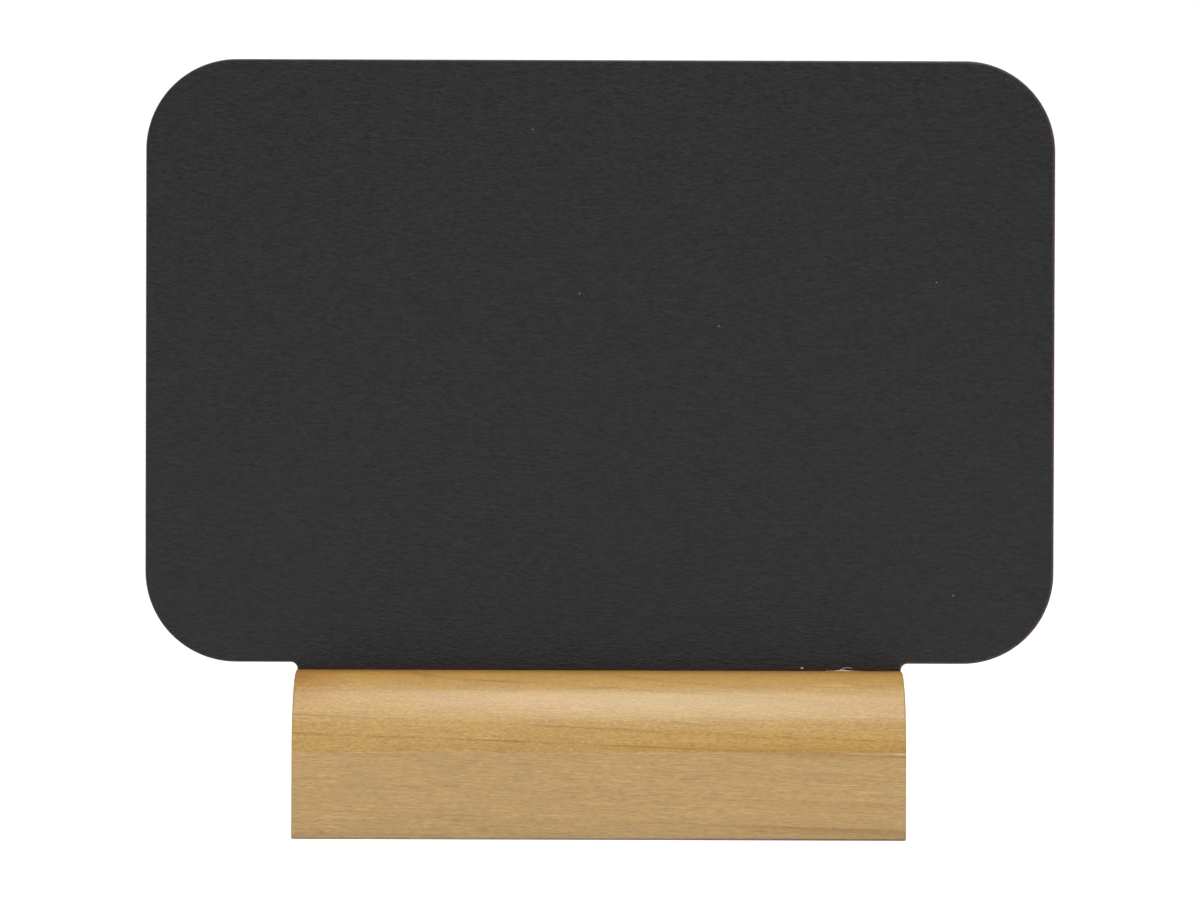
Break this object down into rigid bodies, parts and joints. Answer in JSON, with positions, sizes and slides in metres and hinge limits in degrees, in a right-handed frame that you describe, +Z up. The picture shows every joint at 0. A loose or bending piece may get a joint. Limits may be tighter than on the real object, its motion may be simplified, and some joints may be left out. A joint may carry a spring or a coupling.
{
  "type": "tabletop chalkboard",
  "caption": "Small double-sided chalkboard with rounded corners, standing upright in a slot along the top of a rounded wooden base.",
  "frame": {"origin": "on the table, at the middle of the base's underside", "axes": "+X along the base, to the right as seen from the front; +Y to the rear; +Z up"},
  "size_m": [0.15, 0.03, 0.1276],
  "materials": {
    "pine_base": "solid pine, planed and sanded, clear satin lacquer",
    "fibreboard_core": "dense brown fibreboard, sanded edge",
    "black_laminate": "matt black writing laminate with a fine pebbled texture"
  },
  "bodies": {
    "base": {"base_block": "pine_base"},
    "board": {"board_core": "fibreboard_core", "front_sheet": "black_laminate", "rear_sheet": "black_laminate"}
  },
  "joints": [
    {"name": "board_lift", "type": "slide", "parent": "base", "child": "board", "axis": [0, 0, 1], "range_m": [0, 0.02]}
  ]
}
